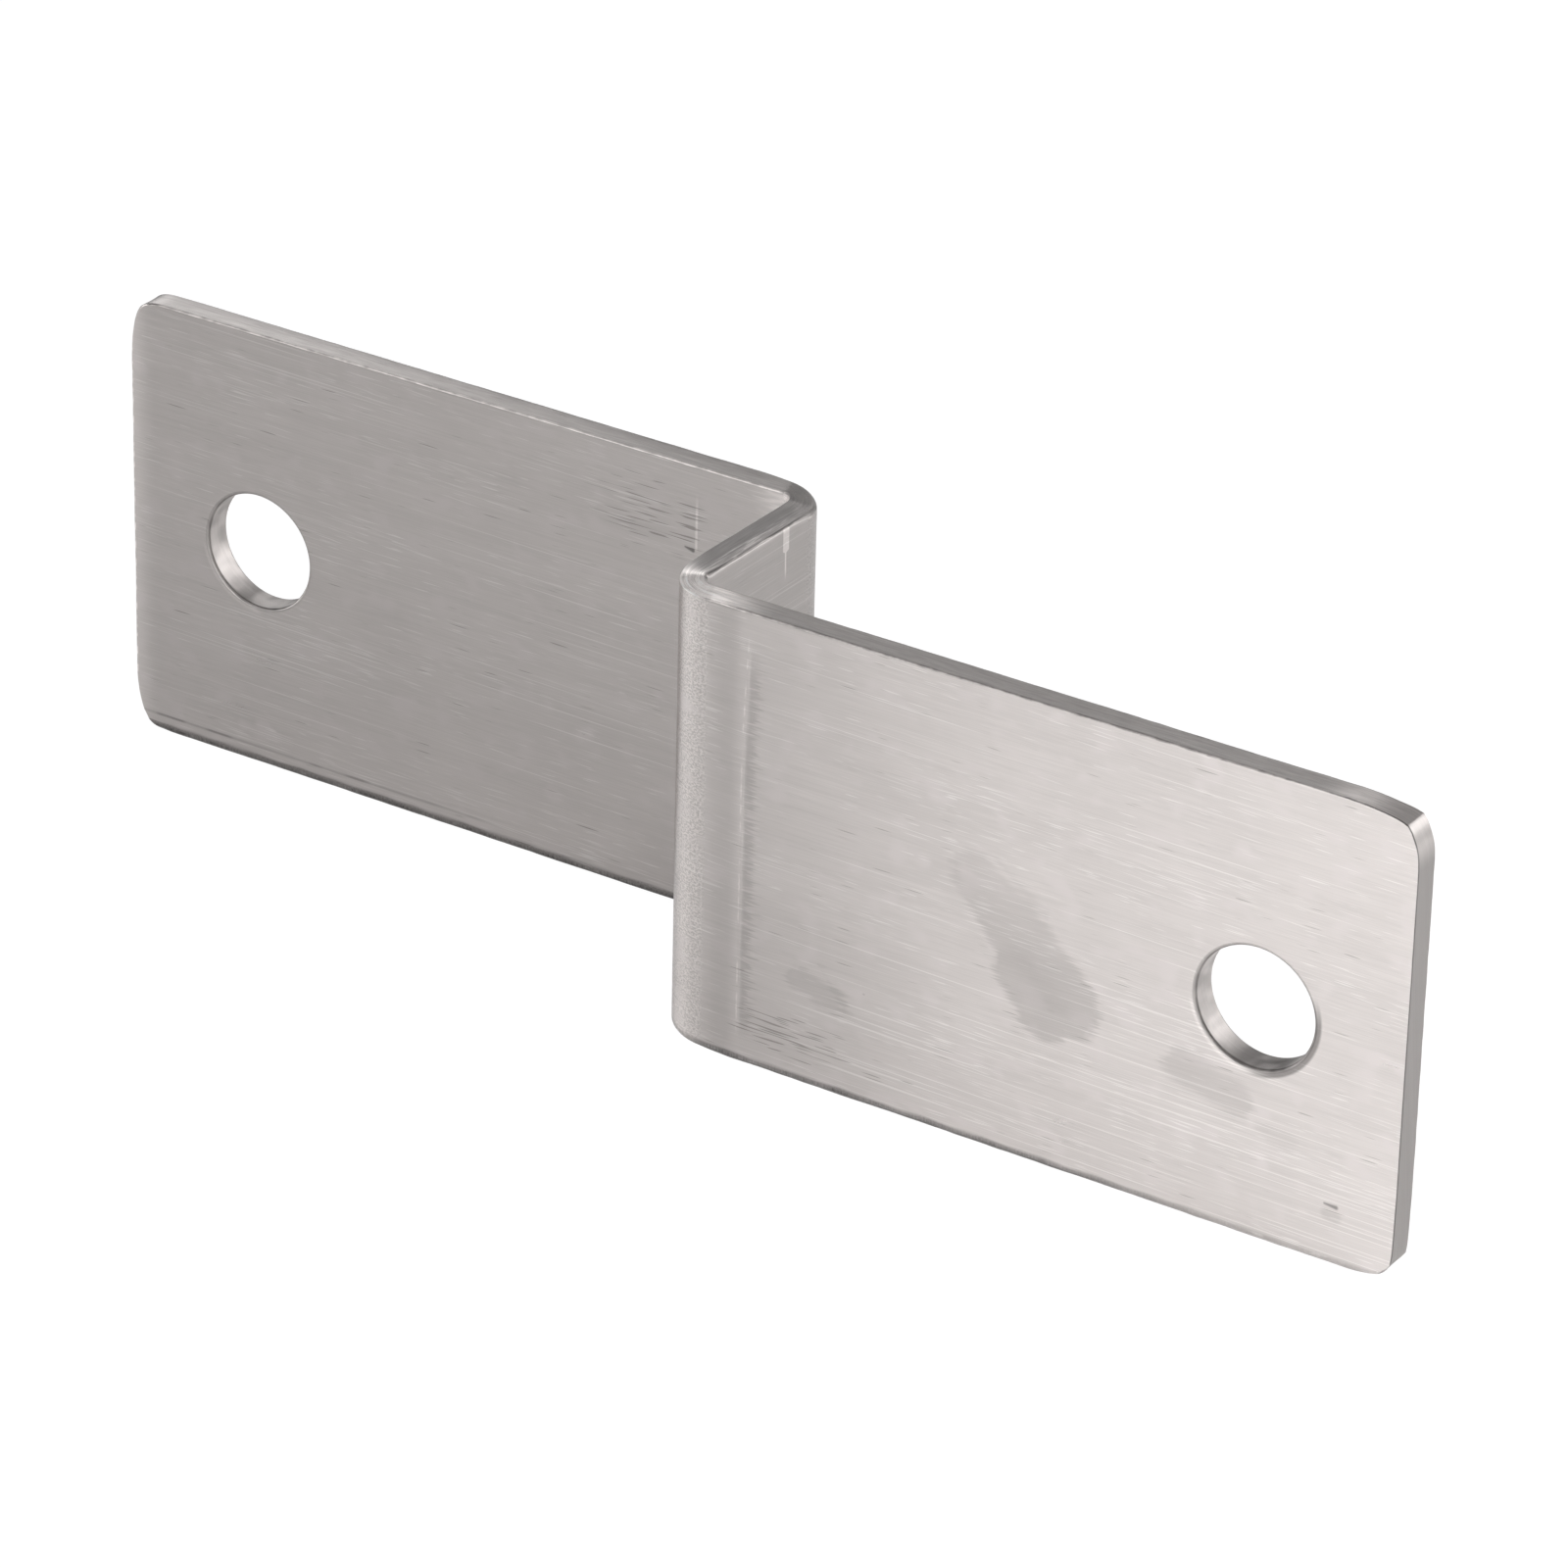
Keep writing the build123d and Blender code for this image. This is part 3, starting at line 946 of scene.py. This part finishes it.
def paper():
    """A matt pale surface, whose white in the picture is no light on the object."""
    m, g = material("paper")
    path = g.node("ShaderNodeLightPath").outputs
    mirrored = g.max(path["Is Glossy Ray"], path["Is Transmission Ray"])
    share = g.add(g.mul(path["Is Camera Ray"], CAMERA_SHARE), g.mul(mirrored, MIRROR_SHARE))
    matt = g.node("ShaderNodeBsdfDiffuse", {"Color": (PAPER_GREY, PAPER_GREY, PAPER_GREY, 1)})
    glow = g.node("ShaderNodeEmission", {"Color": (1, 1, 1, 1), "Strength": PAPER_WHITE})
    mixed = g.node("ShaderNodeMixShader", {0: share, 1: matt.outputs[0], 2: glow.outputs[0]})
    g.node("ShaderNodeOutputMaterial", {0: mixed.outputs[0]})
    return m


floor_mesh = bpy.data.meshes.new("floor")
e = FLOOR_REACH
floor_mesh.from_pydata([(-e, -e, 0), (e, -e, 0), (e, e, 0), (-e, e, 0)], [], [(0, 1, 2, 3)])
floor = bpy.data.objects.new("floor", floor_mesh)
floor.location.z = -FLOOR_GAP * MM
bpy.context.scene.collection.objects.link(floor)
floor_mesh.materials.append(paper())

# World: white to the camera, nearly dark to everything else
world = bpy.data.worlds.new("studio")
bpy.context.scene.world = world
world.use_nodes = True
world.node_tree.nodes.clear()
g = Graph(world.node_tree)
path = g.node("ShaderNodeLightPath").outputs
dim = g.node("ShaderNodeBackground", {"Color": (1, 0.99, 0.98, 1), "Strength": 0.02})
white = g.node("ShaderNodeBackground", {"Color": (1, 1, 1, 1), "Strength": 1.0})
mixed = g.node("ShaderNodeMixShader", {0: path["Is Camera Ray"], 1: dim.outputs[0], 2: white.outputs[0]})
g.node("ShaderNodeOutputWorld", {0: mixed.outputs[0]})


def facing(azimuth, elevation):
    """Axes of what looks at the object from there: right, up and back. Azimuth runs from the front to the right."""
    back = np.array([
        math.sin(azimuth) * math.cos(elevation), -math.cos(azimuth) * math.cos(elevation), math.sin(elevation)])
    right = np.array([math.cos(azimuth), math.sin(azimuth), 0.0])
    return right, np.cross(back, right), back


def placed(axes, where):
    place = Matrix(axes).transposed().to_4x4()
    place.translation = where
    return place


def softbox(name, azimuth, elevation, distance, size, level, aim, mirrored=True, lights_floor=True):
    """A soft lamp; level is its brightness as seen. One that is not mirrored lights the floor alone, which the
    metal then shows, and one that does not light the floor is there for the metal to mirror."""
    axes = facing(math.radians(azimuth), math.radians(elevation))
    lamp = bpy.data.lights.new(name, "AREA")
    lamp.shape = "RECTANGLE"
    lamp.size, lamp.size_y = size
    lamp.energy = level * math.pi * size[0] * size[1]
    o = bpy.data.objects.new(name, lamp)
    o.matrix_world = placed(axes, np.array(aim) + axes[2] * distance)
    o.visible_camera = False
    o.visible_glossy = mirrored
    o.visible_diffuse = lights_floor
    bpy.context.scene.collection.objects.link(o)


NEAR_END = (0.045, -0.02, 0.0)
MIDDLE = (0.0, 0.0, 0.015)
softbox("near_box", 45, 15, 0.24, (0.29, 0.16), 11.5, NEAR_END, mirrored=False)
softbox("right_box", 100, 15, 0.60, (0.30, 0.26), 12.7, MIDDLE, mirrored=False)
softbox("front_strip", -14, 8, 0.60, (0.09, 0.24), 9.4, MIDDLE)
softbox("left_box", -70, 13, 0.60, (0.36, 0.26), 3.6, MIDDLE)
softbox("corner_box", 142, 18, 0.50, (0.30, 0.30), 2.1, MIDDLE)
softbox("top_box", -45, 48, 0.50, (0.30, 0.26), 1.6, MIDDLE)
softbox("back_box", -133, 20, 0.50, (0.16, 0.26), 2.0, MIDDLE)
softbox("far_box", -152, 28, 0.50, (0.18, 0.12), 1.5, MIDDLE)
softbox("rim_box", 32, 20, 0.80, (0.60, 0.36), 1.35, MIDDLE)
softbox("side_box", 108, 32, 0.80, (0.40, 0.34), 1.0, MIDDLE)
softbox("overhead_box", 0, 82, 0.80, (0.70, 0.60), 0.8, MIDDLE, lights_floor=False)
softbox("end_box", 180, 36, 0.50, (0.40, 0.26), 0.38, MIDDLE)

# Camera, at the photograph's angle
AZIMUTH, ELEVATION, ROLL = (math.radians(v) for v in (32.134, 27.957, 1.431))
TARGET = np.array([3.114, 0.0, 14.488])
DISTANCE = 473.53
right, up, back = facing(AZIMUTH, ELEVATION)
axes = (right * math.cos(ROLL) + up * math.sin(ROLL), -right * math.sin(ROLL) + up * math.cos(ROLL), back)
view = bpy.data.cameras.new("camera")
view.sensor_width = 36.0
view.lens = 182.95
view.clip_start, view.clip_end = 0.01, 50.0
camera = bpy.data.objects.new("camera", view)
camera.matrix_world = placed(axes, (TARGET + back * DISTANCE) * MM)
bpy.context.scene.collection.objects.link(camera)
bpy.context.scene.camera = camera
bpy.context.scene.view_settings.view_transform = "Standard"
